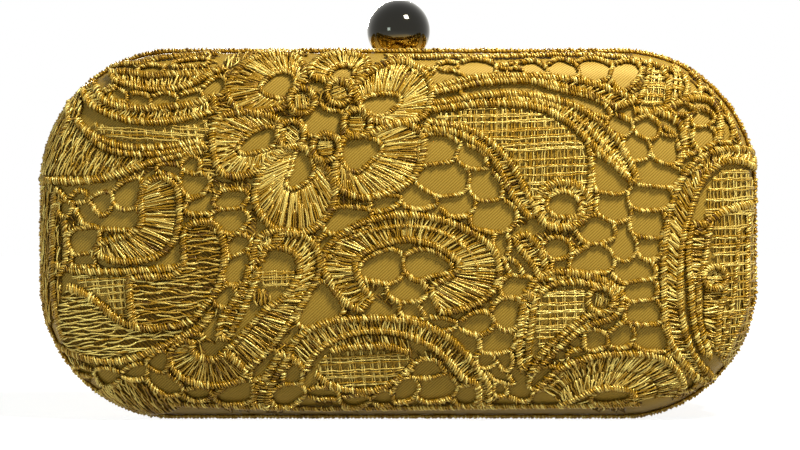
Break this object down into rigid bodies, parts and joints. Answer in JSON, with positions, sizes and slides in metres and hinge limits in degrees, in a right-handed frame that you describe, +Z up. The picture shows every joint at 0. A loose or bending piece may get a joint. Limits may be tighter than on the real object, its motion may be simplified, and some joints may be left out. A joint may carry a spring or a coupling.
{
  "type": "evening clutch bag",
  "caption": "Hard-shell evening clutch covered in satin and corded lace, hinged along its base and closed by a sliding ball clasp.",
  "frame": {"origin": "under the middle of the bag, on the surface that it stands on", "axes": "+X to the bag's right as seen from its front, +Y from front to rear, +Z up towards the ball"},
  "size_m": [0.19, 0.052, 0.1124],
  "materials": {
    "lace": "corded metallic-gold guipure lace",
    "satin": "old-gold twill-backed satin",
    "shell": "moulded ABS",
    "lining": "brushed lining cloth on card",
    "frame_metal": "polished pale-gold plate",
    "hinge_metal": "satin gold plate",
    "steel": "bright nickel-plated steel",
    "ball_metal": "black-nickel mirror plate"
  },
  "bodies": {
    "rear_half": {"rear_lace_overlay": "lace", "rear_satin_cover": "satin", "rear_shell": "shell", "rear_lining": "lining", "rear_frame": "frame_metal", "left_hinge_rear_leaf": "hinge_metal", "right_hinge_rear_leaf": "hinge_metal", "rear_hinge_rivets": "hinge_metal", "left_hinge_pin": "steel", "right_hinge_pin": "steel", "clasp_plate": "steel", "clasp_plate_rivets": "hinge_metal", "guide_rivets": "hinge_metal", "clasp_spring": "steel", "chain_lug_left": "frame_metal", "chain_lug_right": "frame_metal", "lug_rivets": "hinge_metal"},
    "front_half": {"front_lace_overlay": "lace", "front_satin_cover": "satin", "front_shell": "shell", "front_lining": "lining", "front_frame": "frame_metal", "left_hinge_front_leaf": "hinge_metal", "right_hinge_front_leaf": "hinge_metal", "front_hinge_rivets": "hinge_metal", "keeper": "steel", "keeper_rivets": "hinge_metal"},
    "clasp": {"clasp_slider": "steel", "clasp_stem": "steel", "knob_collar": "ball_metal", "ball_knob": "ball_metal"}
  },
  "joints": [
    {"name": "case_hinge", "type": "hinge", "parent": "rear_half", "child": "front_half", "pos_m": [0, 0, 0.0019], "axis": [1, 0, 0], "range_deg": [0, 120]},
    {"name": "clasp_slide", "type": "slide", "parent": "rear_half", "child": "clasp", "axis": [1, 0, 0], "range_m": [0, 0.005], "stiffness_N_per_m": 300, "springref_m": -0.004, "deforming": ["clasp_spring"]}
  ]
}
